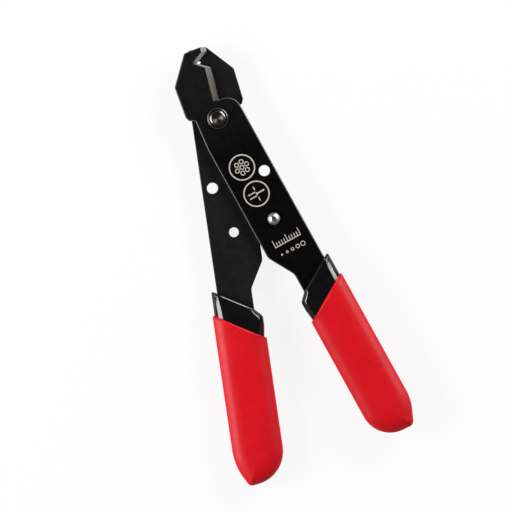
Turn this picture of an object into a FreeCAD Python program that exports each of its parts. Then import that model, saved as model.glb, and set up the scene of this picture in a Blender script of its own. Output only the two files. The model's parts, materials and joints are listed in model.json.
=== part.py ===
import FreeCAD, Part
import math
import os

V = FreeCAD.Vector
Z = V(0, 0, 1)

# Hand tool for stripping and cutting wire: two identical flat steel levers, one turned over onto the
# other, riveted at the pivot, with dipped grips and an adjustable stop between the handles.
# All sizes are millimetres. A lever is drawn in its own frame: the pivot is the origin, +X points to
# the outer edge of the handle, the handle runs along -Y, and the mating face is the plane Z = 0.

# Steel levers
plate_thickness = 2.5
outer_edge = 9.3
inner_edge = 8.45
edge_break = 0.3
handle_angle = 10.3
neck_start = 52.0
neck_end = 61.5
neck_radius = 4.0
tang_inner_edge = 3.0
tang_end = 123.5
tang_corner_radius = 3.0

# Jaw
shoulder_top = 5.5
shoulder_radius = 5.3
head_top = 25.9
head_back = 0.6
head_back_radius = 0.8
cheek_width = 8.2
cheek_height = 16.9
cheek_radius = 1.3
lobe_width = 9.9
lobe_height = 5.7
lobe_radius = 0.9
lobe_foot_width = 9.3
lobe_foot_height = 4.1
waist_width = 7.4
waist_height = 3.0
waist_radius = 0.5
waist_blend_start = 8.2
tip_shoulder = 6.4
tip_drop = 0.5

# Cutting edge and stripping notch
edge_offset = 2.0
edge_lean = 15.0
tip_height = 24.3
bevel_width = 2.05
notch_along = 20.8
notch_depth = 4.5
notch_lower_angle = 28.8
notch_upper_angle = 37.5
notch_bevel_depth = 1.7
notch_bevel_shift = 0.2

# Holes in each lever, as distances outward from the pivot and down the handle
pivot_hole_radius = 2.05
upper_hole_radius = 1.975
upper_hole_out = 5.5
upper_hole_down = 24.2
lower_hole_radius = 1.725
lower_hole_out = 0.2
lower_hole_down = 40.8

# Pivot rivet and its washers
pivot_clearance = 0.05
washer_clearance = 0.05
pivot_washer_radius = 3.75
pivot_washer_thickness = 0.6
spun_head_radius = 2.85
spun_head_height = 0.8
spun_dimple_radius = 1.95
spun_dimple_depth = 0.62
rivet_head_radius = 3.1
rivet_head_height = 1.2
small_round = 0.3

# Adjustable stop: screw, eccentric cam, washer and thin nut
stop_clearance = 0.075
screw_head_radius = 2.25
screw_head_height = 1.8
screw_head_round = 0.8
screw_end_overhang = 0.3
cam_radius = 4.0
cam_thickness = 2.3
cam_gap = 0.2
stop_washer_radius = 3.4
stop_washer_thickness = 0.5
stop_nut_across_flats = 6.4
stop_nut_thickness = 2.0

# Dipped grips: a black liner on the steel and a red skin over it
liner_outer_coat = 1.85
liner_inner_coat = 2.2
liner_face_coat = 2.55
liner_bevel = 1.3
cover_rounding = 2.6
skin = 0.75
liner_top = 60.3
liner_corner_out = 3.0
liner_corner_lean = 45.0
skin_top = 68.8
grip_slant = 31.0
grip_start = 48.0
grip_start_radius = 3.4

# Ends of the grips, which differ because each was dipped by hand: the outer side tapers to a small
# tip corner, a slanted end runs from it to a large heel corner on the inner side
front_taper_start = 120.4
front_taper_radius = 18.0
front_tip_out = 8.3
front_tip_down = 128.8
front_heel_down = 127.9
front_heel_radius = 10.5
rear_extra_coat = 0.2
rear_taper_start = 123.2
rear_taper_radius = 22.0
rear_tip_out = 7.6
rear_tip_down = 131.1
rear_heel_down = 129.0
rear_heel_radius = 12.0
grip_tip_radius = 3.0

# Worked out from the above
liner_outer = outer_edge + liner_outer_coat
liner_inner = tang_inner_edge + liner_inner_coat
liner_thickness = plate_thickness + 2 * liner_face_coat
grip_thickness = liner_thickness + 2 * skin
mating_height = (grip_thickness + plate_thickness) / 2
grip_reach = max(front_tip_down, rear_tip_down)
lean = math.radians(edge_lean)
edge_along = V(math.sin(lean), math.cos(lean), 0)
edge_out = V(math.cos(lean), -math.sin(lean), 0)


def rounded_wire(corners):
    """Closed wire through corners (x, y, radius); a radius of 0 leaves the corner sharp."""
    count = len(corners)
    starts, ends, arcs = [], [], []
    for i, (x, y, radius) in enumerate(corners):
        here = V(x, y, 0)
        before = V(corners[i - 1][0], corners[i - 1][1], 0) - here
        after = V(corners[(i + 1) % count][0], corners[(i + 1) % count][1], 0) - here
        before.normalize()
        after.normalize()
        if radius == 0:
            starts.append(here)
            ends.append(here)
            arcs.append(None)
            continue
        half = before.getAngle(after) / 2
        bisector = before + after
        bisector.normalize()
        centre = here + bisector * (radius / math.sin(half))
        start = here + before * (radius / math.tan(half))
        end = here + after * (radius / math.tan(half))
        starts.append(start)
        ends.append(end)
        arcs.append(Part.Arc(start, centre - bisector * radius, end).toShape())
    edges = []
    for i in range(count):
        if arcs[i] is not None:
            edges.append(arcs[i])
        edges.append(Part.makeLine(ends[i], starts[(i + 1) % count]))
    return Part.Wire(edges)


def prism(wire, low, high):
    """Straight solid on a wire in the plane Z = 0, from Z = low to Z = high."""
    face = Part.Face(wire)
    face.translate(V(0, 0, low))
    return face.extrude(V(0, 0, high - low))


def edges_at(shape, height):
    """Edges that lie in the horizontal plane at a height."""
    return [e for e in shape.Edges
            if abs(e.BoundBox.ZMin - height) < 1e-4 and abs(e.BoundBox.ZMax - height) < 1e-4]


def disc(radius, low, high, at=V(0, 0, 0)):
    return Part.makeCylinder(radius, high - low, at + V(0, 0, low), Z)


def on_edge_line(height):
    """Point of the cutting edge's straight line at a height above the pivot."""
    foot = edge_out * edge_offset
    return foot + edge_along * ((height - foot.y) / edge_along.y)


def lever_blank():
    """Flat lever with its outer edge broken, before the holes and the ground edge."""
    root = on_edge_line(shoulder_top)
    tip = on_edge_line(tip_height)
    corners = [
        (outer_edge, -tang_end, tang_corner_radius),
        (outer_edge, shoulder_top, shoulder_radius),
        (root.x, root.y, 0),
        (tip.x, tip.y, 0),
        (tip_shoulder, head_top - tip_drop, 0),
        (head_back, head_top, head_back_radius),
        (-cheek_width, cheek_height, cheek_radius),
        (-lobe_width, lobe_height, lobe_radius),
        (-lobe_foot_width, lobe_foot_height, waist_radius),
        (-waist_width, waist_height, waist_radius),
        (-inner_edge, -waist_blend_start, neck_radius),
        (-inner_edge, -neck_start, neck_radius),
        (-tang_inner_edge, -neck_end, neck_radius),
        (-tang_inner_edge, -tang_end, tang_corner_radius),
    ]
    blank = prism(rounded_wire(corners), 0, plate_thickness)
    return blank.makeChamfer(edge_break, edges_at(blank, plate_thickness))


def ground_bevel():
    """Wedge that grinds the straight cutting edge, from its root past the tip."""
    root = on_edge_line(shoulder_top)
    over = plate_thickness * 1.2
    section = Part.makePolygon([
        root,
        root - edge_out * (bevel_width * over / plate_thickness) + V(0, 0, over),
        root + V(0, 0, over),
        root,
    ])
    return Part.Face(section).extrude(edge_along * (head_top + bevel_width))


def notch():
    """V notch through the cutting edge, leaning so that its edge stays at the mating face."""
    slope = (edge_along * notch_bevel_shift - edge_out * notch_bevel_depth) * (1 / plate_thickness) + Z
    apex = edge_along * notch_along + edge_out * (edge_offset - notch_depth)
    reach = notch_depth + 2 * bevel_width
    lower = apex + edge_out * reach - edge_along * (reach * math.tan(math.radians(notch_lower_angle)))
    upper = apex + edge_out * reach + edge_along * (reach * math.tan(math.radians(notch_upper_angle)))
    face = Part.Face(Part.makePolygon([apex, lower, upper, apex]))
    face.translate(-slope)
    return face.extrude(slope * (plate_thickness + 2))


def lever():
    """One lever, lying on its mating face."""
    holes = [
        disc(pivot_hole_radius, -1, plate_thickness + 1),
        disc(upper_hole_radius, -1, plate_thickness + 1, V(upper_hole_out, -upper_hole_down, 0)),
        disc(lower_hole_radius, -1, plate_thickness + 1, V(lower_hole_out, -lower_hole_down, 0)),
    ]
    return lever_blank().cut([ground_bevel(), notch()] + holes)


def front_grip_corners():
    """Corners of the front grip's outline, from above its dip line to its rounded end."""
    outer = liner_outer + skin
    inner = liner_inner + skin
    return [
        (outer, -grip_start, grip_start_radius),
        (-inner, -grip_start, grip_start_radius),
        (-inner, -front_heel_down, front_heel_radius),
        (front_tip_out, -front_tip_down, grip_tip_radius),
        (outer, -front_taper_start, front_taper_radius),
    ]


def rear_grip_corners():
    """Corners of the rear grip's outline, drawn in the same lever frame."""
    outer = liner_outer + rear_extra_coat + skin
    inner = liner_inner + skin
    return [
        (outer, -grip_start, grip_start_radius),
        (-inner, -grip_start, grip_start_radius),
        (-inner, -rear_heel_down, rear_heel_radius),
        (rear_tip_out, -rear_tip_down, grip_tip_radius),
        (outer, -rear_taper_start, rear_taper_radius),
    ]


def grip_block(corners, inset):
    """Square-edged grip, set in by a thickness, with the edges round its two faces."""
    wire = rounded_wire(corners)
    if inset:
        wire = wire.makeOffset2D(-inset)
    half = grip_thickness / 2 - inset
    block = prism(wire, -half, half)
    return block, edges_at(block, half) + edges_at(block, -half)


def above_line(x, down, slant):
    """Big block above a line that falls towards the inner side, in plan."""
    block = Part.makeBox(2 * grip_reach, grip_reach, grip_reach, V(-grip_reach, 0, -grip_reach / 2))
    block.rotate(V(0, 0, 0), Z, slant)
    block.translate(V(x, -down, 0))
    return block


def grip_liner(corners, steel):
    """Black dip over the tang, bevelled along its edges, with a slanted top and a cut inner corner."""
    block, edges = grip_block(corners, skin)
    form = block.makeChamfer(liner_bevel, edges)
    form.translate(V(0, 0, plate_thickness / 2))
    outer = corners[0][0] - skin
    fall = (outer + liner_corner_out) * math.tan(math.radians(grip_slant))
    form = form.cut(above_line(outer, liner_top, grip_slant))
    form = form.cut(above_line(-liner_corner_out, liner_top + fall, grip_slant + liner_corner_lean))
    return form, form.cut(steel)


def grip_cover(corners, liner_form):
    """Red skin over the liner, rounded along its edges, from its own slanted dip line down."""
    block, edges = grip_block(corners, 0)
    form = block.makeFillet(cover_rounding, edges)
    form.translate(V(0, 0, plate_thickness / 2))
    form = form.cut(above_line(corners[0][0], skin_top, grip_slant))
    return form.cut(liner_form)


def ring(outer, inner, low, high):
    return disc(outer, low, high).cut(disc(inner, low - 1, high + 1))


def pivot_rivet():
    """Rivet through both levers: a low factory head behind and a spun head in front."""
    radius = pivot_hole_radius - pivot_clearance
    front = plate_thickness + pivot_washer_thickness
    top = front + spun_head_height
    head_low = -front - rivet_head_height
    profile = Part.makePolygon([
        V(0, 0, head_low),
        V(rivet_head_radius - 2 * small_round, 0, head_low),
        V(rivet_head_radius, 0, head_low + 2 * small_round),
        V(rivet_head_radius, 0, -front),
        V(radius, 0, -front),
        V(radius, 0, front),
        V(spun_head_radius, 0, front),
        V(spun_head_radius, 0, top - small_round),
        V(spun_head_radius - small_round, 0, top),
        V(spun_dimple_radius, 0, top),
        V(0, 0, top - spun_dimple_depth),
        V(0, 0, head_low),
    ])
    return Part.Face(profile).revolve(V(0, 0, 0), Z, 360)


def pivot_washer():
    """Front washer under the spun head."""
    inner = pivot_hole_radius - pivot_clearance + washer_clearance
    washer = ring(pivot_washer_radius, inner, plate_thickness, plate_thickness + pivot_washer_thickness)
    rim = [e for e in edges_at(washer, plate_thickness + pivot_washer_thickness)
           if e.BoundBox.XMax > pivot_washer_radius - 0.01]
    return washer.makeChamfer(small_round, rim)


def turned_over(shape):
    """The same piece flipped over about the tool's long axis."""
    copy = shape.copy()
    copy.rotate(V(0, 0, 0), V(0, 1, 0), 180)
    return copy


def in_front(shape):
    """A piece of the front lever, swung to its place in the tool."""
    copy = shape.copy()
    copy.rotate(V(0, 0, 0), Z, handle_angle)
    return copy


def stop_place():
    """Axis of the stop screw in the tool, its distance to the rear lever and the way there."""
    angle = math.radians(handle_angle)
    x = lower_hole_out * math.cos(angle) + lower_hole_down * math.sin(angle)
    y = lower_hole_out * math.sin(angle) - lower_hole_down * math.cos(angle)
    rear_out = V(-math.cos(angle), math.sin(angle), 0)
    axis = V(x, y, 0)
    gap = -inner_edge - axis.dot(rear_out)
    return axis, gap, rear_out


def stop_screw():
    """Pan head screw through the front lever, the cam, the washer and the nut."""
    radius = lower_hole_radius - stop_clearance
    end = -(cam_thickness + stop_washer_thickness + stop_nut_thickness + screw_end_overhang)
    shank = disc(radius, end, plate_thickness)
    shank = shank.makeChamfer(small_round, edges_at(shank, end))
    head = disc(screw_head_radius, plate_thickness, plate_thickness + screw_head_height)
    head = head.makeChamfer(screw_head_round, edges_at(head, plate_thickness + screw_head_height))
    return shank.fuse(head).removeSplitter()


def stop_cam(gap, direction):
    """Eccentric disc whose high side faces the rear lever."""
    throw = gap - cam_gap - cam_radius
    body = disc(cam_radius, -cam_thickness, 0, direction * throw)
    return body.cut(disc(lower_hole_radius, -cam_thickness - 1, 1))


def stop_washer():
    return ring(stop_washer_radius, lower_hole_radius,
                -cam_thickness - stop_washer_thickness, -cam_thickness)


def stop_nut():
    """Thin hexagon nut; the thread is left plain and meets the screw's shank."""
    high = -cam_thickness - stop_washer_thickness
    low = high - stop_nut_thickness
    corner = stop_nut_across_flats / math.sqrt(3)
    points = [V(corner * math.cos(math.radians(60 * i)), corner * math.sin(math.radians(60 * i)), 0)
              for i in range(7)]
    nut = prism(Part.makePolygon(points), low, high)
    cone = Part.makeCone(corner - small_round, corner + stop_nut_thickness - small_round,
                         stop_nut_thickness, V(0, 0, low), Z)
    return nut.common(cone).cut(disc(lower_hole_radius - stop_clearance, low - 1, high + 1))


def build():
    """Every piece in the tool's frame, with the pivot axis on Z and the mating faces at Z = 0."""
    steel = lever()
    front_form, front_liner = grip_liner(front_grip_corners(), steel)
    front_cover = grip_cover(front_grip_corners(), front_form)
    rear_form, rear_liner = grip_liner(rear_grip_corners(), steel)
    rear_cover = grip_cover(rear_grip_corners(), rear_form)
    axis, gap, direction = stop_place()
    parts = {
        "front_lever": in_front(steel),
        "front_grip_liner": in_front(front_liner),
        "front_grip_cover": in_front(front_cover),
        "rear_lever": turned_over(in_front(steel)),
        "rear_grip_liner": turned_over(in_front(rear_liner)),
        "rear_grip_cover": turned_over(in_front(rear_cover)),
        "pivot_rivet": pivot_rivet(),
        "pivot_washer_front": pivot_washer(),
        "pivot_washer_rear": turned_over(pivot_washer()),
        "stop_screw": stop_screw(),
        "stop_cam": stop_cam(gap, direction),
        "stop_washer": stop_washer(),
        "stop_nut": stop_nut(),
    }
    for name in ("stop_screw", "stop_cam", "stop_washer", "stop_nut"):
        parts[name].translate(axis)
    return parts, axis


def main():
    parts, stop_axis = build()
    box = Part.makeCompound(list(parts.values())).BoundBox
    to_origin = V(0, -(box.YMin + box.YMax) / 2, mating_height)
    os.makedirs("parts", exist_ok=True)
    for name, shape in parts.items():
        solids = shape.Solids
        placed = solids[0] if len(solids) == 1 else Part.makeCompound(solids)
        placed = placed.copy()
        placed.translate(to_origin)
        placed.exportStep("parts/" + name + ".step")
        print(name, len(solids), placed.isValid(), round(placed.Volume, 1))
    print("pivot", to_origin)
    print("stop axis", stop_axis + to_origin)


main()
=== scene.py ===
import json
import math

import bmesh
import bpy
import numpy as np
from mathutils import Matrix, Vector

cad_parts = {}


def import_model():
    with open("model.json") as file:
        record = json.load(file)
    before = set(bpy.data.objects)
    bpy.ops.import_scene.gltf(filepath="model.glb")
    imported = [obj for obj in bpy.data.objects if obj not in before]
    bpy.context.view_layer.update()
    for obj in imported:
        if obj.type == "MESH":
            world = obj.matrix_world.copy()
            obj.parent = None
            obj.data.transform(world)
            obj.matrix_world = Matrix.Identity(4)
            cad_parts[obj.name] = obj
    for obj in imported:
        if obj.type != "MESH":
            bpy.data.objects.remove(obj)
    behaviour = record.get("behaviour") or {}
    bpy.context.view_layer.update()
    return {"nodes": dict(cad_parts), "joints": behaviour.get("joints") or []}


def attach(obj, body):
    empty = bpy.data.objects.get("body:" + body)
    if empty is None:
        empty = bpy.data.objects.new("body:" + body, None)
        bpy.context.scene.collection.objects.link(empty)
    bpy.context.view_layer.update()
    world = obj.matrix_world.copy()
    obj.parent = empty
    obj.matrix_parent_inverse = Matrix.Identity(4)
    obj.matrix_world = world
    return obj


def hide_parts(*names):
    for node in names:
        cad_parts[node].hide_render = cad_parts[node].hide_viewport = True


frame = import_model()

# Lengths below are in millimetres in a lever's own frame: x outward from the pivot, y up to the jaw,
# z up from the mating face. MM turns them into metres. Vertices closer than SAME_PLACE metres are joined.
MM = 0.001
SAME_PLACE = 1e-7
HANDLE_ANGLE = math.radians(10.3)
PLATE = 2.5

# Cutting edge, its ground bevel and the notch
EDGE_OFFSET = 2.0
EDGE_LEAN = math.radians(15.0)
SHOULDER_TOP = 5.5
BEVEL_REACH = 4.7
NOTCH_LOW = 12.0
NOTCH_WALL_REACH = 3.2
NOTCH_WALLS_LOW = 15.0
NOTCH_WALLS_HIGH = 25.0
NOTCH_WALLS_FROM = -1.0
BROKEN_EDGE = 0.35

# How upright the normals of ground and broken faces stand, and how far past the edge a face may lie
BEVEL_UPRIGHT = (0.25, 0.97)
WALL_UPRIGHT = (0.2, 0.99)
BROKEN_UPRIGHT = (0.6, 0.8)
PAST_EDGE = 0.2

# Cosines of the angles between a face's normal and the edge's outward direction, and the level part that
# a normal needs to have a direction at all
BEVEL_FACING = -0.2
NOTCH_FACING = 0.8
LEVEL_PART = 0.1

# Grips: the two were dipped by hand, so their outlines differ a little
GRIPS = {
    "front": {
        "outer": 11.9, "taper_down": 120.4, "taper_radius": 18.0,
        "tip_out": 8.3, "tip_down": 128.8, "tip_radius": 2.2,
        "heel_down": 127.9, "heel_radius": 10.5,
    },
    "rear": {
        "outer": 12.1, "taper_down": 123.2, "taper_radius": 22.0,
        "tip_out": 7.6, "tip_down": 131.1, "tip_radius": 2.0,
        "heel_down": 129.0, "heel_radius": 12.0,
    },
}
GRIP_INNER = 5.95
GRIP_HALF_THICKNESS = 4.55
GRIP_END_MIDDLE = 5.6
DIP_SLANT = math.radians(31.0)
EAR_RADIUS = 0.55

# A dip layer lies inside the grip's outline by its inset, and its dip line meets the outer side at its top.
# The slopes of its face are in degrees at distances from its inner side, its outer side and its dip line.
# Further down they spread over wider strips, by the widening. The black layer bulges at its inner corner.
BLACK_LAYER = {
    "inset": 0.75,
    "top": 60.3,
    "inner": ((0.0, 80), (0.3, 52), (1.499, 43), (1.501, 15), (2.3, 2), (5.0, 0)),
    "outer": ((0.0, 80), (0.3, 50), (1.1, 42), (1.3, 32), (2.5, 27), (2.9, 6), (5.0, 0)),
    "lip": ((0.0, 75), (0.12, 45), (0.2, 33), (0.55, 27), (0.7, 4), (1.5, 0)),
    "widening": 0.55,
    "corner": {"start": 3.1, "bulge": 0.55, "drop": 1.1, "radius": 0.9, "length": 3.2, "fade": 4.0},
}
RED_SLOPES = ((0.0, 86), (0.12, 62), (0.5, 43), (1.5, 33), (2.6, 24), (4.0, 11), (6.0, 3.5), (9.0, 0))
RED_LAYER = {
    "inset": 0.0,
    "top": 68.8,
    "inner": RED_SLOPES,
    "outer": RED_SLOPES,
    "lip": ((0.0, 85), (0.15, 60), (0.45, 30), (0.8, 6), (1.5, 0)),
    "widening": 0.0,
    "corner": None,
}

# The strips widen over this length below the dip line, and have their listed width at this share of it
WIDENING_LENGTH = 9.0
EVEN_PLACE = 0.55

# The lip's slope spreads wider towards the inner side, from here inward and over this width
LIP_WIDENING = 1.1
LIP_EVEN_TO = 2.0
LIP_WIDENING_WIDTH = 6.0

# Shares of a grip's length where the close rows at its dip line end and where those round its end begin,
# and how many rows and columns its mesh has there
LIP_SHARE = 0.03
BODY_SHARE = 0.80
LIP_ROWS = 14
BODY_ROWS = 56
END_ROWS = 42
MIDDLE_COLUMNS = 12
SLOPE_STEPS = 600

# Distances of the outermost columns of a grip's mesh from each side, closest where the slopes change
GRIP_COLUMNS = np.array((0, 0.01, 0.05, 0.12, 0.2, 0.3, 0.5, 0.8, 1.1, 1.2, 1.3,
                         1.5, 1.8, 2.1, 2.5, 2.6, 2.7, 2.8, 2.9, 3.3, 4.0, 5.0))

# Pivot
WASHER_RADIUS = 3.75
WASHER = 0.6
WASHER_HOLE = 2.05
RIVET_RADIUS = 2.0
HEAD_RADIUS = 2.85
HEAD_HEIGHT = 0.8
FACTORY_RADIUS = 3.1
FACTORY_HEIGHT = 1.2
DIMPLE_RADIUS = 1.95
DIMPLE_DEPTH = 0.78

# Adjustable stop
SCREW_HEAD_RADIUS = 2.25
SCREW_HEAD_HEIGHT = 1.8
SHANK_RADIUS = 1.65
SHANK_TOP = PLATE - 1.0
SHANK_CHAMFER = 0.3
THREAD_DEPTH = 0.16
THREAD_PITCH = 0.5
THREAD_TOP = -0.2
RECESS_ARM = 0.31
RECESS_REACH = 1.28
RECESS_DEPTH = 1.05
RECESS_RISE = 0.2
RECESS_MOUTH = 1.04
RECESS_FOOT = 0.45
RECESS_TURN = math.radians(28)
STOP_BORE = SHANK_RADIUS + 0.075
CAM_RADIUS = 4.0
CAM_THICKNESS = 2.3
CAM_GAP = 0.2
INNER_EDGE = 8.45
STOP_WASHER_RADIUS = 3.4
STOP_WASHER = 0.5
NUT_FLATS = 6.4
NUT = 2.0
LEAST_BEVEL = 0.06
SCREW_END = 0.3

# Etched marks on the front lever
ETCH_LIFT = 0.01
ETCH_DEPTH = 0.02
RING_OUT = -0.9
STRANDS_DOWN = 19.4
WIRE_DOWN = 30.05
RING_RADIUS = 4.7
RING_LINE = 0.48
STRAND_RADIUS = 0.88
STRAND_LINE = 0.34
STRAND_SPREAD = 2.05
OUTER_STRANDS = 6
STRANDS_TURN = math.radians(10)
WIRE_LINE = 0.42
SCALE_OUT = 0.8
SCALE_DOWN = 50.2
SCALE_LENGTH = 10.0
SCALE_LINE = 0.3
SCALE_STEPS = 10
LONG_TICK = 2.6
SHORT_TICK = 1.5
SIZES_DOWN = 53.4
SIZES_STEP = 2.1
SIZES_LINE = 0.28
SIZES = 5
SMALLEST_SIZE = 0.35
SIZE_GROWTH = 0.14
RING_POINTS = 96
SMALL_RING_POINTS = 40


def joint_place(name):
    """Where a joint's axis runs at rest, in metres."""
    return Vector([joint for joint in frame["joints"] if joint["name"] == name][0]["pos_m"])


pivot = joint_place("lever_pivot")
stop = joint_place("stop_turn")
upright = Matrix.Translation(pivot)
turned_over = upright @ Matrix.Rotation(math.pi, 4, "Y")
handle_turn = Matrix.Rotation(HANDLE_ANGLE, 4, "Z")
LEVER_MATRIX = {"front": upright @ handle_turn, "rear": turned_over @ handle_turn}
stop_matrix = Matrix.Translation(stop)


# Materials

class Material:
    """A node material around one Principled shader."""

    def __init__(self, name, **inputs):
        self.material = bpy.data.materials.new(name)
        self.material.use_nodes = True
        self.nodes = self.material.node_tree.nodes
        self.links = self.material.node_tree.links
        self.shader = self.nodes["Principled BSDF"]
        for key, value in inputs.items():
            self.shader.inputs[key.replace("_", " ")].default_value = value
        self.coords = self.nodes.new("ShaderNodeTexCoord").outputs["Object"]

    def noise(self, scale, detail, stretch=(1, 1, 1), turn=0.0):
        """Noise over the piece, stretched and turned about the upright axis."""
        mapping = self.nodes.new("ShaderNodeMapping")
        mapping.inputs["Scale"].default_value = stretch
        mapping.inputs["Rotation"].default_value = (0, 0, turn)
        self.links.new(self.coords, mapping.inputs["Vector"])
        node = self.nodes.new("ShaderNodeTexNoise")
        node.inputs["Scale"].default_value = scale
        node.inputs["Detail"].default_value = detail
        self.links.new(mapping.outputs["Vector"], node.inputs["Vector"])
        return node.outputs["Fac"]

    def ramp(self, value, low, high, start=0.3, end=0.7):
        """A number that runs from low to high while the value runs from start to end."""
        node = self.nodes.new("ShaderNodeMapRange")
        node.inputs["From Min"].default_value = start
        node.inputs["From Max"].default_value = end
        node.inputs["To Min"].default_value = low
        node.inputs["To Max"].default_value = high
        self.links.new(value, node.inputs["Value"])
        return node.outputs["Result"]

    def colours(self, value, low, high, start=0.3, end=0.7):
        """A colour that runs from low to high while the value runs from start to end."""
        node = self.nodes.new("ShaderNodeValToRGB")
        node.color_ramp.elements[0].position = start
        node.color_ramp.elements[0].color = (*low, 1)
        node.color_ramp.elements[1].position = end
        node.color_ramp.elements[1].color = (*high, 1)
        self.links.new(value, node.inputs["Fac"])
        return node.outputs["Color"]

    def multiply(self, first, second, share=1.0):
        """The first colour darkened by a share of the second."""
        node = self.nodes.new("ShaderNodeMix")
        node.data_type = "RGBA"
        node.blend_type = "MULTIPLY"
        node.inputs["Factor"].default_value = share
        self.links.new(first, node.inputs["A"])
        self.links.new(second, node.inputs["B"])
        return node.outputs["Result"]

    def soft_edges(self, radius):
        """Normals that round every edge over a radius."""
        node = self.nodes.new("ShaderNodeBevel")
        node.samples = 8
        node.inputs["Radius"].default_value = radius
        return node.outputs["Normal"]

    def bump(self, value, strength, distance, normal=None):
        """Fine relief from a value, on top of a normal if one is given."""
        node = self.nodes.new("ShaderNodeBump")
        if normal:
            self.links.new(normal, node.inputs["Normal"])
        node.inputs["Strength"].default_value = strength
        node.inputs["Distance"].default_value = distance
        self.links.new(value, node.inputs["Height"])
        self.links.new(node.outputs["Normal"], self.shader.inputs["Normal"])

    def set(self, name, output):
        """Links an output to one of the shader's own inputs."""
        self.links.new(output, self.shader.inputs[name])


def black_oxide(name, jaw, handle):
    """Oiled black-oxide steel: near black, satin, with a faint grain. Its tone drifts from jaw to handle."""
    m = Material(name, Specular_IOR_Level=0.14)
    place = m.nodes.new("ShaderNodeSeparateXYZ")
    m.links.new(m.coords, place.inputs["Vector"])
    drift = m.ramp(place.outputs["Y"], 0, 1, pivot.y - 14 * MM, pivot.y + 10 * MM)
    tone = m.colours(drift, (handle,) * 3, (jaw,) * 3, 0, 1)
    patches = m.colours(m.noise(260, 5), (0.75, 0.75, 0.75), (1.2, 1.2, 1.18))
    m.set("Base Color", m.multiply(tone, patches))
    m.set("Roughness", m.ramp(m.noise(520, 6), 0.37, 0.45))
    m.bump(m.noise(5200, 3), 0.12, 0.03 * MM, m.soft_edges(0.8 * MM))
    return m.material


def wear_and_sheen_edge(name, colour):
    """Rubbed oxide on a lever's broken edge, where steel begins to shine through; the given colour also
    carries painted highlight, lighter where light catches the edge.
    """
    m = Material(name, Metallic=1.0)
    darker = tuple(0.8 * c for c in colour)
    m.set("Base Color", m.colours(m.noise(600, 5), darker, colour))
    m.set("Roughness", m.ramp(m.noise(900, 4), 0.34, 0.42))
    m.bump(m.noise(3000, 3), 0.05, 0.02 * MM)
    return m.material


def ground_steel(name, first, last, axis, start, end, smooth, rough):
    """Bright ground steel with fine grinding lines along the edge, tinted from one place to another."""
    m = Material(name, Metallic=1.0)
    lines = m.noise(5000, 4, (1.0, 0.04, 1.0), -(EDGE_LEAN - HANDLE_ANGLE))
    place = m.nodes.new("ShaderNodeSeparateXYZ")
    m.links.new(m.coords, place.inputs["Vector"])
    tint = m.colours(m.ramp(place.outputs[axis], 0, 1, start, end), first, last, 0, 1)
    m.set("Base Color", m.multiply(tint, m.colours(lines, (0.45, 0.45, 0.45), (1, 1, 1)), 0.5))
    m.set("Roughness", m.ramp(m.noise(900, 5), smooth, rough))
    m.bump(lines, 0.25, 0.02 * MM)
    return m.material


def turned_steel(name, centre, colour, rough):
    """Bright steel with fine concentric turning rings about an upright axis."""
    m = Material(name, Metallic=1.0)
    shift = m.nodes.new("ShaderNodeVectorMath")
    shift.operation = "SUBTRACT"
    shift.inputs[1].default_value = centre
    m.links.new(m.coords, shift.inputs[0])
    flat = m.nodes.new("ShaderNodeVectorMath")
    flat.operation = "MULTIPLY"
    flat.inputs[1].default_value = (1, 1, 0)
    m.links.new(shift.outputs["Vector"], flat.inputs[0])
    radius = m.nodes.new("ShaderNodeVectorMath")
    radius.operation = "LENGTH"
    m.links.new(flat.outputs["Vector"], radius.inputs[0])
    rings = m.nodes.new("ShaderNodeTexNoise")
    rings.noise_dimensions = "1D"
    rings.inputs["Scale"].default_value = 14000
    rings.inputs["Detail"].default_value = 3
    m.links.new(radius.outputs["Value"], rings.inputs["W"])
    darker = tuple(0.75 * c for c in colour)
    m.set("Base Color", m.colours(m.noise(700, 4), darker, colour))
    m.set("Roughness", m.ramp(m.noise(400, 3), rough - 0.04, rough + 0.04))
    m.bump(rings.outputs["Fac"], 0.04, 0.02 * MM)
    return m.material


def zinc():
    """Bright zinc plating: pale, slightly blue, with soft mottling."""
    m = Material("zinc_plate", Metallic=1.0)
    m.set("Base Color", m.colours(m.noise(900, 5), (0.44, 0.45, 0.46), (0.64, 0.65, 0.66)))
    m.set("Roughness", m.ramp(m.noise(1400, 4), 0.34, 0.48))
    m.bump(m.noise(2200, 3), 0.25, 0.03 * MM)
    return m.material


def dipped_black():
    """Glossy black dip with a faint orange-peel surface."""
    m = Material("dipped_black", Specular_IOR_Level=0.36, Coat_Weight=0.3, Coat_Roughness=0.05)
    m.set("Base Color", m.colours(m.noise(300, 3), (0.0035, 0.0035, 0.004), (0.006, 0.006, 0.0065)))
    m.set("Roughness", m.ramp(m.noise(600, 4), 0.10, 0.18))
    m.bump(m.noise(500, 2), 0.03, 0.08 * MM)
    return m.material


def dipped_red():
    """Satin red vinyl dip: even colour, fine pores and slow changes of gloss."""
    m = Material("dipped_red", Specular_IOR_Level=0.22, Subsurface_Weight=0.03)
    m.shader.inputs["Subsurface Radius"].default_value = (0.6 * MM, 0.1 * MM, 0.1 * MM)
    m.set("Base Color", m.colours(m.noise(120, 4), (0.580, 0.0030, 0.0085), (0.635, 0.0042, 0.0105)))
    m.set("Roughness", m.ramp(m.noise(350, 5), 0.40, 0.50))
    m.bump(m.noise(2600, 4), 0.10, 0.05 * MM)
    return m.material


def etched():
    """Laser-etched mark: pale warm grey, frosted, a little uneven."""
    m = Material("etched", Specular_IOR_Level=0.3)
    m.set("Base Color", m.colours(m.noise(2500, 4), (0.38, 0.34, 0.28), (0.52, 0.47, 0.40)))
    m.set("Roughness", m.ramp(m.noise(1800, 3), 0.55, 0.75))
    return m.material


# Shapes

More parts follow.
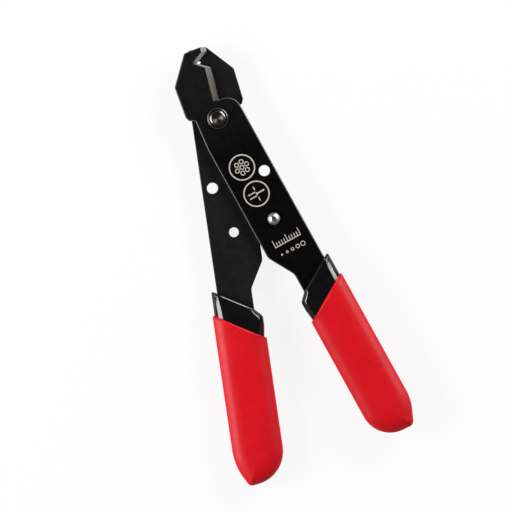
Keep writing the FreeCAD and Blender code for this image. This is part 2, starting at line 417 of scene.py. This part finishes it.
def local_mesh(name, vertices, faces, matrix):
    """A mesh from vertices in millimetres in a local frame, with its faces turned outward."""
    mesh = bpy.data.meshes.new(name)
    mesh.from_pydata([matrix @ (Vector(v) * MM) for v in vertices], [], faces)
    bm = bmesh.new()
    bm.from_mesh(mesh)
    bmesh.ops.remove_doubles(bm, verts=bm.verts, dist=SAME_PLACE)
    bmesh.ops.recalc_face_normals(bm, faces=bm.faces)
    bm.to_mesh(mesh)
    bm.free()
    return mesh


def new_piece(name, vertices, faces, material, matrix, body, smooth=True, node=None):
    """A piece that rides on its body and, where a node is named, replaces it."""
    mesh = local_mesh(name, vertices, faces, matrix)
    mesh.polygons.foreach_set("use_smooth", [smooth] * len(mesh.polygons))
    mesh.materials.append(material)
    piece = bpy.data.objects.new(name, mesh)
    bpy.context.scene.collection.objects.link(piece)
    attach(piece, body)
    if node:
        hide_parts(node)
    return piece


def sharpen(piece, angle):
    """Marks edges sharper than an angle, so that smooth shading keeps them crisp."""
    mesh = piece.data
    bm = bmesh.new()
    bm.from_mesh(mesh)
    for edge in bm.edges:
        if len(edge.link_faces) == 2 and edge.calc_face_angle() > angle:
            edge.smooth = False
    bm.to_mesh(mesh)
    bm.free()


def arc_path(corners, arc_steps=14):
    """Points along an open path with rounded corners; corners are (x, y, radius)."""
    points = [np.array(corners[0][:2], float)]
    for i in range(1, len(corners) - 1):
        here = np.array(corners[i][:2], float)
        before = np.array(corners[i - 1][:2], float) - here
        after = np.array(corners[i + 1][:2], float) - here
        before /= np.linalg.norm(before)
        after /= np.linalg.norm(after)
        half = math.acos(np.clip(before @ after, -1, 1)) / 2
        radius = corners[i][2]
        reach = radius / math.tan(half)
        bisector = before + after
        bisector /= np.linalg.norm(bisector)
        centre = here + bisector * radius / math.sin(half)
        start = here + before * reach - centre
        end = here + after * reach - centre
        first = math.atan2(start[1], start[0])
        turn = (math.atan2(end[1], end[0]) - first + math.pi) % (2 * math.pi) - math.pi
        for k in range(arc_steps + 1):
            angle = first + turn * k / arc_steps
            points.append(centre + radius * np.array([math.cos(angle), math.sin(angle)]))
    points.append(np.array(corners[-1][:2], float))
    return np.array(points)


def along(path, distances):
    """Points of a path at distances from its start, and the path's length."""
    steps = np.linalg.norm(np.diff(path, axis=0), axis=1)
    length = np.concatenate([[0], np.cumsum(steps)])
    return np.stack([np.interp(distances, length, path[:, k]) for k in (0, 1)], axis=1), length[-1]


def distance_to(points, path):
    """Shortest distance from each point to a path's segments."""
    starts = path[:-1]
    steps = path[1:] - starts
    size = np.maximum((steps ** 2).sum(1), 1e-12)
    share = np.clip(((points[:, None, :] - starts) * steps).sum(2) / size, 0, 1)
    nearest = starts + share[:, :, None] * steps
    return np.linalg.norm(points[:, None, :] - nearest, axis=2).min(1)


def turned(name, profile, segments, material, matrix, body, node):
    """A piece turned about the local z axis from a closed profile of (radius, height) points."""
    vertices = []
    faces = []
    for k in range(segments):
        angle = 2 * math.pi * k / segments
        vertices += [(r * math.cos(angle), r * math.sin(angle), z) for r, z in profile]
    size = len(profile)
    for k in range(segments):
        for i in range(size - 1):
            a = k * size + i
            b = (k + 1) % segments * size + i
            faces.append((a, b, b + 1, a + 1))
    piece = new_piece(name, vertices, faces, material, matrix, body, node=node)
    sharpen(piece, math.radians(35))
    return piece


def cut_out(piece, vertices, faces, matrix):
    """Cuts a closed form, given in millimetres in a local frame, out of a piece."""
    cutter = bpy.data.objects.new("cutter", local_mesh("cutter", vertices, faces, matrix))
    bpy.context.scene.collection.objects.link(cutter)
    cut = piece.modifiers.new("recess", "BOOLEAN")
    cut.object = cutter
    cut.operation = "DIFFERENCE"
    cut.solver = "EXACT"
    bpy.context.view_layer.update()
    shape = piece.evaluated_get(bpy.context.evaluated_depsgraph_get())
    cut_mesh = bpy.data.meshes.new_from_object(shape)
    piece.modifiers.clear()
    piece.data = cut_mesh
    bpy.data.objects.remove(cutter)
    sharpen(piece, math.radians(30))


def rounded_profile(points, steps=5):
    """Profile points (radius, height, rounding) with their corners rounded."""
    path = arc_path([(r, z, max(c, 0.001)) for r, z, c in points], steps)
    return [tuple(p) for p in path]


# Steel levers

GROUND = ground_steel("ground_steel", (0.19, 0.155, 0.13), (0.41, 0.405, 0.395),
                      "Y", pivot.y + 5 * MM, pivot.y + 26 * MM, 0.28, 0.42)
NOTCH = ground_steel("notch_steel", (0.17, 0.168, 0.162), (0.90, 0.88, 0.85),
                     "X", pivot.x - 2.2 * MM, pivot.x + 1.2 * MM, 0.52, 0.66)
OXIDE_INDEX, GROUND_INDEX, EDGE_INDEX, NOTCH_INDEX = range(4)


def within(value, limits):
    """Whether a value lies between two limits."""
    return limits[0] < value < limits[1]


def is_ground(place, normal, out):
    """Whether a face lies on the cutting edge's bevel or on a wall of the notch."""
    from_edge = place.dot(out) - EDGE_OFFSET
    near_edge = place.y > SHOULDER_TOP and -BEVEL_REACH < from_edge < PAST_EDGE
    bevel = near_edge and within(normal.z, BEVEL_UPRIGHT) and normal.dot(out) > BEVEL_FACING
    between_rims = NOTCH_WALLS_LOW < place.y <= NOTCH_WALLS_HIGH and place.x >= NOTCH_WALLS_FROM
    wall = between_rims and within(normal.z, WALL_UPRIGHT) and place.dot(out) > -NOTCH_WALL_REACH
    return bevel or wall


def finish_of(place, normal, out):
    """Index of the material on a lever's face, from its place and normal in the lever's frame."""
    if is_ground(place, normal, out):
        level = normal.xy
        turned_away = level.length > LEVEL_PART and level.normalized().dot(out.xy) < NOTCH_FACING
        return NOTCH_INDEX if place.y > NOTCH_LOW and turned_away else GROUND_INDEX
    broken = within(normal.z, BROKEN_UPRIGHT) and place.z > PLATE - BROKEN_EDGE
    return EDGE_INDEX if broken else OXIDE_INDEX


def finish_lever(side, oxide, edge):
    """Black oxide, rubbed along the broken edges and painted lighter there as highlight, and bright ground
    steel on the cutting bevels.
    """
    mesh = frame["nodes"][side + "_lever"].data
    mesh.materials.clear()
    for material in (oxide, GROUND, edge, NOTCH):
        mesh.materials.append(material)
    back = LEVER_MATRIX[side].inverted()
    turn = back.to_3x3()
    out = Vector((math.cos(EDGE_LEAN), -math.sin(EDGE_LEAN), 0))
    for face in mesh.polygons:
        face.material_index = finish_of((back @ face.center) / MM, turn @ face.normal, out)


# The front lever's broken edge is painted much lighter than the rear's: painted highlight where light
# catches the front edges.
finish_lever("front", black_oxide("front_oxide", 0.0058, 0.0004),
             wear_and_sheen_edge("front_edge", (0.16, 0.158, 0.155)))
finish_lever("rear", black_oxide("rear_oxide", 0.0080, 0.0090),
             wear_and_sheen_edge("rear_edge", (0.05, 0.05, 0.05)))


# Grips

def dip_line(side, layer, x):
    """How high a layer's slanted dip line lies at a distance outward."""
    return -(layer["top"] + (GRIPS[side]["outer"] - layer["inset"] - x) * math.tan(DIP_SLANT))


def outer_side(side, layer, middle):
    """Outer side of a layer's outline, from its ear at the dip line to the middle of its end."""
    grip = GRIPS[side]
    inset = layer["inset"]
    outer = grip["outer"] - inset
    ear = outer - 2 * EAR_RADIUS
    return arc_path([
        (ear, dip_line(side, layer, ear), 0),
        (outer, dip_line(side, layer, outer), EAR_RADIUS),
        (outer, -grip["taper_down"], grip["taper_radius"] - inset),
        (grip["tip_out"], inset - grip["tip_down"], grip["tip_radius"] - inset / 2),
        (*middle, 0),
    ])


def inner_side(side, layer, middle):
    """Inner side of a layer's outline, with its bulging corner if it has one."""
    grip = GRIPS[side]
    inner = GRIP_INNER - layer["inset"]
    corner = layer["corner"]
    start = [(-inner, dip_line(side, layer, -inner), 0)]
    if corner:
        bulge = inner + corner["bulge"]
        high = dip_line(side, layer, -bulge) - corner["drop"]
        low = high - corner["length"]
        start = [
            (-corner["start"], dip_line(side, layer, -corner["start"]), 0),
            (-bulge, high, corner["radius"]),
            (-bulge, low, corner["radius"] * 2),
            (-inner, low - corner["fade"], corner["radius"] * 2),
        ]
    heel = (-inner, layer["inset"] - grip["heel_down"], grip["heel_radius"] - layer["inset"])
    return arc_path(start + [heel, (*middle, 0)])


def grip_sides(side, layer):
    """Both sides of a layer's outline, which meet at the middle of its end."""
    grip = GRIPS[side]
    width = grip["tip_out"] + GRIP_INNER - layer["inset"]
    slope = (grip["tip_down"] - grip["heel_down"]) / width
    down = grip["tip_down"] - layer["inset"] - (grip["tip_out"] - GRIP_END_MIDDLE) * slope
    middle = (GRIP_END_MIDDLE, -down)
    return inner_side(side, layer, middle), outer_side(side, layer, middle)


def row_shares():
    """Places of the rows along a grip, closer together at its dip line and round its end."""
    lip = np.linspace(0, LIP_SHARE, LIP_ROWS)
    body = np.linspace(LIP_SHARE, BODY_SHARE, BODY_ROWS)
    end = BODY_SHARE + (1 - BODY_SHARE) * np.sin(np.linspace(0, math.pi / 2, END_ROWS))
    return np.concatenate([lip[:-1], body[:-1], end])


def column_shares(spread, reach):
    """Places of the columns across each row, in step with the slopes next to both sides."""
    near = GRIP_COLUMNS[None, :] * spread[:, None] / reach
    far = 1 - near[:, ::-1]
    middle = np.linspace(0, 1, MIDDLE_COLUMNS + 2)[1:-1]
    between = near[:, -1:] * (1 - middle) + far[:, :1] * middle
    return np.concatenate([near, between, far], axis=1)


def drop_from(slopes, distance):
    """How far a face lies below its middle, from its slopes at distances from the outline."""
    steps = np.linspace(0, slopes[-1][0], SLOPE_STEPS)
    lean = np.interp(steps, [d for d, angle in slopes], [math.radians(angle) for d, angle in slopes])
    parts = np.tan(lean) * (steps[1] - steps[0])
    below = np.cumsum(parts[::-1])[::-1]
    return np.interp(distance, steps, below)


def grip_plan(side, layer, inner_path, outer_path):
    """Rows of points across a layer seen from above, and how wide its sloped strips are at each row."""
    share = row_shares()
    outer_length = along(outer_path, [0])[1]
    inner_length = along(inner_path, [0])[1]
    ease = share * share * (3 - 2 * share)
    below_line = np.clip(share * outer_length * math.cos(DIP_SLANT) / WIDENING_LENGTH, 0, 1)
    spread = 1 + layer["widening"] * (below_line - EVEN_PLACE)
    across = column_shares(spread, GRIPS[side]["outer"] + GRIP_INNER - 2 * layer["inset"])[:, :, None]
    outer_points = along(outer_path, share * outer_length)[0]
    inner_points = along(inner_path, share * outer_length + (inner_length - outer_length) * ease)[0]
    return inner_points[:, None, :] * (1 - across) + outer_points[:, None, :] * across, spread


def grip_heights(side, layer, plan, spread, inner_path, outer_path):
    """Half thickness of a layer at each point of its plan; its first and last columns lie on the seam."""
    rows, columns = plan.shape[:2]
    flat = plan.reshape(-1, 2)
    spread = np.repeat(spread, columns)
    from_inner = distance_to(flat, inner_path) / spread
    from_outer = distance_to(flat, outer_path) / spread
    from_lip = np.maximum((dip_line(side, layer, flat[:, 0]) - flat[:, 1]) * math.cos(DIP_SLANT), 0)
    inward = 1 + LIP_WIDENING * np.clip((LIP_EVEN_TO - flat[:, 0]) / LIP_WIDENING_WIDTH, 0, 1) ** 2
    fall = np.maximum(drop_from(layer["inner"], from_inner), drop_from(layer["outer"], from_outer))
    fall = np.maximum(fall, drop_from(layer["lip"], from_lip / inward))
    heights = (GRIP_HALF_THICKNESS - layer["inset"] - fall).reshape(rows, columns)
    heights[:, [0, -1]] = 0
    return heights


def dipped(name, side, layer, material, node):
    """A dipped grip layer: a pillow on its outline, with a rounded lip along its slanted dip line."""
    inner_path, outer_path = grip_sides(side, layer)
    plan, spread = grip_plan(side, layer, inner_path, outer_path)
    heights = grip_heights(side, layer, plan, spread, inner_path, outer_path)
    rows, columns = heights.shape
    spots = list(zip(plan.reshape(-1, 2), heights.ravel()))
    centre = PLATE / 2
    vertices = [(x, y, centre + height) for (x, y), height in spots]
    vertices += [(x, y, centre - height) for (x, y), height in spots]
    count = len(spots)
    faces = []
    for r in range(rows - 1):
        for c in range(columns - 1):
            a = r * columns + c
            quad = (a, a + 1, a + 1 + columns, a + columns)
            faces.append(quad)
            faces.append(tuple(count + k for k in reversed(quad)))
    faces.append(tuple(range(columns)) + tuple(count + k for k in range(columns - 2, 0, -1)))
    body = side + "_side"
    piece = new_piece(name, vertices, faces, material, LEVER_MATRIX[side], body, node=node)
    sharpen(piece, math.radians(50))


DIP_BLACK = dipped_black()
DIP_RED = dipped_red()
for side in ("front", "rear"):
    dipped(side + "_black_dip", side, BLACK_LAYER, DIP_BLACK, side + "_grip_liner")
    dipped(side + "_red_dip", side, RED_LAYER, DIP_RED, side + "_grip_cover")


# Pivot

STEEL = turned_steel("rivet_steel", pivot, (0.115, 0.11, 0.102), 0.27)
WASHER_TOP = PLATE + WASHER


def pivot_washer(name, matrix, node):
    """Washer with a rounded outer rim, under one end of the rivet."""
    profile = rounded_profile([
        (WASHER_HOLE, PLATE, 0),
        (WASHER_RADIUS, PLATE, 0.06),
        (WASHER_RADIUS, WASHER_TOP - 0.3, 0.12),
        (WASHER_RADIUS - 0.4, WASHER_TOP, 0.2),
        (WASHER_HOLE, WASHER_TOP, 0.03),
        (WASHER_HOLE, PLATE, 0),
    ])
    turned(name, profile, 96, STEEL, matrix, "rear_side", node)


def pivot_rivet():
    """Rivet with a spun, dimpled head in front and a low factory head behind."""
    head_top = WASHER_TOP + HEAD_HEIGHT
    dimple_low = head_top - DIMPLE_DEPTH
    factory_low = -WASHER_TOP - FACTORY_HEIGHT
    profile = rounded_profile([
        (0, dimple_low, 0),
        (0.25, dimple_low + 0.02, 0.2),
        (DIMPLE_RADIUS, head_top - 0.06, 0.12),
        (DIMPLE_RADIUS + 0.28, head_top, 0.1),
        (HEAD_RADIUS - 0.08, head_top - 0.3, 0.15),
        (HEAD_RADIUS, head_top - 0.6, 0.12),
        (HEAD_RADIUS - 0.12, WASHER_TOP, 0.05),
        (RIVET_RADIUS, WASHER_TOP, 0.02),
        (RIVET_RADIUS, -WASHER_TOP, 0.02),
        (FACTORY_RADIUS, -WASHER_TOP, 0.05),
        (FACTORY_RADIUS, factory_low + 0.6, 0.3),
        (FACTORY_RADIUS - 0.7, factory_low + 0.05, 0.5),
        (0, factory_low, 0),
    ])
    turned("pivot_rivet_turned", profile, 96, STEEL, upright, "rear_side", "pivot_rivet")


pivot_washer("pivot_washer_in_front", upright, "pivot_washer_front")
pivot_washer("pivot_washer_behind", turned_over, "pivot_washer_rear")
pivot_rivet()


# Adjustable stop: screw, cam, washer and nut

ZINC = zinc()
CAM_LOW = -CAM_THICKNESS
NUT_TOP = CAM_LOW - STOP_WASHER
NUT_LOW = NUT_TOP - NUT
SHANK_LOW = NUT_LOW - SCREW_END


def screw_head():
    """Pan head of the stop screw with its cross recess."""
    top = PLATE + SCREW_HEAD_HEIGHT
    profile = rounded_profile([
        (0, top, 0),
        (0.9, top - 0.12, 1.0),
        (1.7, top - 0.62, 0.8),
        (SCREW_HEAD_RADIUS - 0.04, top - 1.3, 0.4),
        (SCREW_HEAD_RADIUS, PLATE, 0.05),
        (SHANK_RADIUS, PLATE, 0.02),
        (SHANK_RADIUS, SHANK_TOP, 0.02),
        (0, SHANK_TOP, 0),
    ], 8)
    head = turned("stop_screw_head", profile, 72, ZINC, stop_matrix, "stop", "stop_screw")
    quarter = [(RECESS_ARM, RECESS_ARM), (RECESS_ARM, RECESS_REACH), (-RECESS_ARM, RECESS_REACH)]
    outline = []
    for cos, sin in ((1, 0), (0, 1), (-1, 0), (0, -1)):
        outline += [(x * cos - y * sin, x * sin + y * cos) for x, y in quarter]
    count = len(outline)
    cross = [(x * RECESS_MOUTH, y * RECESS_MOUTH, top + RECESS_RISE) for x, y in outline]
    cross += [(x * RECESS_FOOT, y * RECESS_FOOT, top - RECESS_DEPTH) for x, y in outline]
    walls = [(i, (i + 1) % count, count + (i + 1) % count, count + i) for i in range(count)]
    ends = [tuple(range(count)), tuple(range(2 * count - 1, count - 1, -1))]
    cut_out(head, cross, walls + ends, stop_matrix @ Matrix.Rotation(RECESS_TURN, 4, "Z"))


def shank_radius(z, share):
    """Radius of the screw's shank at a height and a share of a turn, with its thread and end chamfer."""
    phase = (z / THREAD_PITCH - share) % 1
    groove = THREAD_DEPTH * (1 - abs(2 * phase - 1)) if z < THREAD_TOP else 0.0
    entry = max(0.0, SHANK_CHAMFER - (z - SHANK_LOW))
    return SHANK_RADIUS - max(groove, entry)


def screw_shank():
    """Threaded shank of the stop screw."""
    turns = 48
    rows = 110
    vertices = []
    faces = []
    for i in range(rows + 1):
        z = SHANK_LOW + (SHANK_TOP - SHANK_LOW) * i / rows
        for k in range(turns):
            radius = shank_radius(z, k / turns)
            angle = 2 * math.pi * k / turns
            vertices.append((radius * math.cos(angle), radius * math.sin(angle), z))
    for i in range(rows):
        for k in range(turns):
            a = i * turns + k
            b = i * turns + (k + 1) % turns
            faces.append((a, b, b + turns, a + turns))
    faces.append(tuple(range(turns - 1, -1, -1)))
    faces.append(tuple(rows * turns + k for k in range(turns)))
    new_piece("stop_screw_thread", vertices, faces, ZINC, stop_matrix, "stop")


def cam_shift():
    """From the screw's axis to the cam's middle, so that its high side meets the rear handle's edge."""
    rear_out = Vector((-math.cos(HANDLE_ANGLE), math.sin(HANDLE_ANGLE), 0))
    to_axis = ((stop - pivot) / MM).dot(rear_out)
    return rear_out * (-INNER_EDGE - to_axis - CAM_GAP - CAM_RADIUS)


def cam_rim(angle):
    """Distance from the screw's axis to the cam's rim in a direction."""
    shift = cam_shift()
    middle = shift.dot(Vector((math.cos(angle), math.sin(angle), 0)))
    return middle + math.sqrt(CAM_RADIUS ** 2 - (shift.length_squared - middle ** 2))


def washer_rim(angle):
    """Distance from the screw's axis to the washer's rim, the same in every direction."""
    return STOP_WASHER_RADIUS


def nut_rim(angle):
    """Distance from the screw's axis to the nut's hexagon in a direction."""
    return NUT_FLATS / 2 / math.cos((angle + math.pi / 6) % (math.pi / 3) - math.pi / 6)


def rimmed(name, rim, hole, heights, chamfer, bevel, segments, material, node):
    """A flat part on the stop's axis; beyond the bevel's start its faces slope to the rim."""
    low, high = heights
    bevel_start, bevel_slope = bevel
    vertices = []
    faces = []
    for k in range(segments):
        angle = 2 * math.pi * k / segments
        far = rim(angle)
        start = min(bevel_start, far - LEAST_BEVEL)
        drop = (far - start) * bevel_slope
        section = [
            (hole, low + chamfer), (hole + chamfer, low), (start, low), (far, low + drop),
            (far, high - drop), (start, high), (hole + chamfer, high), (hole, high - chamfer),
        ]
        vertices += [(r * math.cos(angle), r * math.sin(angle), z) for r, z in section]
    size = len(section)
    for k in range(segments):
        a = k * size
        b = (k + 1) % segments * size
        for i in range(size):
            j = (i + 1) % size
            faces.append((a + i, b + i, b + j, a + j))
    piece = new_piece(name, vertices, faces, material, stop_matrix, "stop", node=node)
    sharpen(piece, math.radians(25))


screw_head()
screw_shank()
rimmed("stop_cam_disc", cam_rim, STOP_BORE, (CAM_LOW, 0.0),
       chamfer=0.1, bevel=(9.0, 1.0), segments=96,
       material=STEEL, node="stop_cam")
rimmed("stop_washer_ring", washer_rim, STOP_BORE, (NUT_TOP, CAM_LOW),
       chamfer=0.05, bevel=(STOP_WASHER_RADIUS - 0.1, 1.0), segments=72,
       material=ZINC, node="stop_washer")
rimmed("stop_hex_nut", nut_rim, SHANK_RADIUS, (NUT_LOW, NUT_TOP),
       chamfer=0.2, bevel=(NUT_FLATS / 2 - 0.1, 0.5), segments=144,
       material=ZINC, node="stop_nut")


# Etched marks on the front lever

ETCH = etched()


def band(first, second, count):
    """Quads between two closed loops of vertices that start at the given numbers."""
    return [(first + i, first + (i + 1) % count, second + (i + 1) % count, second + i) for i in range(count)]


def etch(name, loops):
    """Thin flat mark from closed outlines; each is (outer points, inner points or None)."""
    vertices = []
    faces = []
    low = PLATE - ETCH_DEPTH
    high = PLATE + ETCH_LIFT
    for outer, inner in loops:
        base = len(vertices)
        count = len(outer)
        vertices += [(x, y, high) for x, y in outer] + [(x, y, low) for x, y in outer]
        faces += band(base, base + count, count)
        if inner:
            hole = len(vertices)
            vertices += [(x, y, high) for x, y in inner] + [(x, y, low) for x, y in inner]
            faces += band(hole, hole + count, count)
            faces += band(base, hole, count)
            faces += band(base + count, hole + count, count)
        else:
            faces.append(tuple(base + i for i in range(count)))
            faces.append(tuple(base + count + i for i in reversed(range(count))))
    new_piece(name, vertices, faces, ETCH, LEVER_MATRIX["front"], "front_side", smooth=False)


def circle(x, y, radius, count):
    """Points round a circle."""
    angles = [2 * math.pi * k / count for k in range(count)]
    return [(x + radius * math.cos(angle), y + radius * math.sin(angle)) for angle in angles]


def ring(x, y, radius, line, count):
    """Outer and inner outline of a drawn circle."""
    return circle(x, y, radius, count), circle(x, y, radius - line, count)


def bar(x, y, length, height):
    """Outline of a drawn line about its middle."""
    half_length = length / 2
    half_height = height / 2
    corners = [(x - half_length, y - half_height), (x + half_length, y - half_height),
               (x + half_length, y + half_height), (x - half_length, y + half_height)]
    return corners, None


def strand_mark():
    """Ringed end of a stranded wire: seven strands."""
    x = RING_OUT
    y = -STRANDS_DOWN
    loops = [
        ring(x, y, RING_RADIUS, RING_LINE, RING_POINTS),
        ring(x, y, STRAND_RADIUS, STRAND_LINE, SMALL_RING_POINTS),
    ]
    for k in range(OUTER_STRANDS):
        turn = STRANDS_TURN + 2 * math.pi * k / OUTER_STRANDS
        strand_x = x + STRAND_SPREAD * math.cos(turn)
        strand_y = y + STRAND_SPREAD * math.sin(turn)
        loops.append(ring(strand_x, strand_y, STRAND_RADIUS, STRAND_LINE, SMALL_RING_POINTS))
    etch("etched_strands", loops)


def wire_mark():
    """Ringed side view of a stripped wire: jacket, the jacket's end, bare core and two cut lines."""
    x = RING_OUT
    y = -WIRE_DOWN
    cut = x + 0.09
    etch("etched_wire", [
        ring(x, y, RING_RADIUS, RING_LINE, RING_POINTS),
        bar(x - 1.35, y + 0.72, 3.3, WIRE_LINE),
        bar(x - 1.35, y - 0.72, 3.3, WIRE_LINE),
        bar(cut, y, WIRE_LINE, 1.86),
        bar(x + 1.75, y, 2.9, 0.5),
        bar(cut, y + 2.1, WIRE_LINE, 1.3),
        bar(cut, y - 2.1, WIRE_LINE, 1.3),
    ])


def scale_mark():
    """Plain scale of ten steps below the stop screw."""
    loops = [bar(SCALE_OUT, -SCALE_DOWN, SCALE_LENGTH + SCALE_LINE, SCALE_LINE)]
    for k in range(SCALE_STEPS + 1):
        tall = LONG_TICK if k % 5 == 0 else SHORT_TICK
        x = SCALE_OUT - SCALE_LENGTH / 2 + k * SCALE_LENGTH / SCALE_STEPS
        loops.append(bar(x, -SCALE_DOWN + SCALE_LINE / 2 + tall / 2, SCALE_LINE, tall))
    etch("etched_scale", loops)


def size_mark():
    """Row of five growing rings for wire sizes."""
    loops = []
    for k in range(SIZES):
        x = SCALE_OUT + SIZES_STEP * (k - (SIZES - 1) / 2)
        loops.append(ring(x, -SIZES_DOWN, SMALLEST_SIZE + SIZE_GROWTH * k, SIZES_LINE, SMALL_RING_POINTS))
    etch("etched_sizes", loops)


strand_mark()
wire_mark()
scale_mark()
size_mark()


# Stage, light and camera; the floor and the lamps are given in metres

PHOTO_SIZE = 512
MM_PER_PIXEL = 0.3555
PIVOT_PIXEL = (217.8, 118.6)
UP = Vector((0.3198, 0.9475, 0))
RIGHT = Vector((0.9475, -0.3198, 0))
LENS = 300.0
SENSOR = 36.0
FLOOR_HALF = 3.0
FLOOR_LEVEL = -0.0001
FLOOR_GLOW = 0.88
SIDE_LIGHT = 0.36
SIDE_LIGHT_UP_TO = 0.15
OVERHEAD_LIGHT = 0.02
OVERHEAD_LIGHT_FROM = 0.85
AIM_HEIGHT = 0.005


def floor():
    """Wide pale floor: seen as white, and still darkened by the object's shadow."""
    corners = [(-FLOOR_HALF, -FLOOR_HALF), (FLOOR_HALF, -FLOOR_HALF), (FLOOR_HALF, FLOOR_HALF),
               (-FLOOR_HALF, FLOOR_HALF)]
    mesh = bpy.data.meshes.new("floor")
    mesh.from_pydata([(x, y, FLOOR_LEVEL) for x, y in corners], [], [(0, 1, 2, 3)])
    m = Material("floor_white", Roughness=0.9)
    m.set("Base Color", m.colours(m.noise(3, 3), (0.80, 0.80, 0.80), (0.82, 0.82, 0.82)))
    glow = m.nodes.new("ShaderNodeEmission")
    glow.inputs["Color"].default_value = (1, 1, 1, 1)
    rays = m.nodes.new("ShaderNodeLightPath")
    either = rays.outputs["Is Camera Ray"]
    for other in ("Is Glossy Ray", "Is Transmission Ray"):
        add = m.nodes.new("ShaderNodeMath")
        add.operation = "MAXIMUM"
        m.links.new(either, add.inputs[0])
        m.links.new(rays.outputs[other], add.inputs[1])
        either = add.outputs["Value"]
    part = m.nodes.new("ShaderNodeMath")
    part.operation = "MULTIPLY"
    part.inputs[1].default_value = FLOOR_GLOW
    m.links.new(either, part.inputs[0])
    mix = m.nodes.new("ShaderNodeMixShader")
    m.links.new(part.outputs["Value"], mix.inputs["Fac"])
    m.links.new(m.shader.outputs["BSDF"], mix.inputs[1])
    m.links.new(glow.outputs["Emission"], mix.inputs[2])
    m.links.new(mix.outputs["Shader"], m.nodes["Material Output"].inputs["Surface"])
    mesh.materials.append(m.material)
    plane = bpy.data.objects.new("floor", mesh)
    bpy.context.scene.collection.objects.link(plane)


def world():
    """Pale studio surround: bright round the sides and darker overhead."""
    sky = bpy.data.worlds.new("studio")
    bpy.context.scene.world = sky
    sky.use_nodes = True
    nodes = sky.node_tree.nodes
    links = sky.node_tree.links
    direction = nodes.new("ShaderNodeTexCoord").outputs["Generated"]
    split = nodes.new("ShaderNodeSeparateXYZ")
    links.new(direction, split.inputs["Vector"])
    ramp = nodes.new("ShaderNodeValToRGB")
    ramp.color_ramp.elements[0].position = SIDE_LIGHT_UP_TO
    ramp.color_ramp.elements[0].color = (SIDE_LIGHT, SIDE_LIGHT, SIDE_LIGHT, 1)
    ramp.color_ramp.elements[1].position = OVERHEAD_LIGHT_FROM
    ramp.color_ramp.elements[1].color = (OVERHEAD_LIGHT, OVERHEAD_LIGHT, OVERHEAD_LIGHT, 1)
    links.new(split.outputs["Z"], ramp.inputs["Fac"])
    links.new(ramp.outputs["Color"], nodes["Background"].inputs["Color"])
    nodes["Background"].inputs["Strength"].default_value = 1.0


def softbox(name, to_right, to_top, height, size, power):
    """Rectangular lamp that faces the tool, placed in metres by the picture's directions."""
    place = RIGHT * to_right + UP * to_top + Vector((0, 0, height))
    lamp = bpy.data.lights.new(name, "AREA")
    lamp.shape = "RECTANGLE"
    lamp.size = size[0]
    lamp.size_y = size[1]
    lamp.energy = power
    holder = bpy.data.objects.new(name, lamp)
    holder.location = place
    aim = Vector((0, 0, AIM_HEIGHT)) - place
    holder.rotation_euler = aim.to_track_quat("-Z", "Y").to_euler()
    bpy.context.scene.collection.objects.link(holder)


def camera():
    """Straight down on the tool, turned and framed as in the photograph."""
    data = bpy.data.cameras.new("camera")
    data.lens = LENS
    data.sensor_width = SENSOR
    view = bpy.data.objects.new("camera", data)
    middle = PHOTO_SIZE / 2
    across = (middle - PIVOT_PIXEL[0]) * MM_PER_PIXEL * MM
    down = (middle - PIVOT_PIXEL[1]) * MM_PER_PIXEL * MM
    target = pivot + RIGHT * across - UP * down
    distance = LENS * PHOTO_SIZE * MM_PER_PIXEL * MM / SENSOR
    back = Vector((0, 0, 1))
    turn = Matrix((RIGHT, UP, back)).transposed().to_4x4()
    view.matrix_world = Matrix.Translation(target + back * distance) @ turn
    bpy.context.scene.collection.objects.link(view)
    bpy.context.scene.camera = view


floor()
world()
softbox("left_softbox", to_right=-0.60, to_top=-0.04, height=0.36, size=(0.55, 0.26), power=6.0)
softbox("right_softbox", to_right=0.46, to_top=0.46, height=0.36, size=(0.60, 0.26), power=6.2)
camera()
bpy.context.scene.view_settings.view_transform = "Standard"
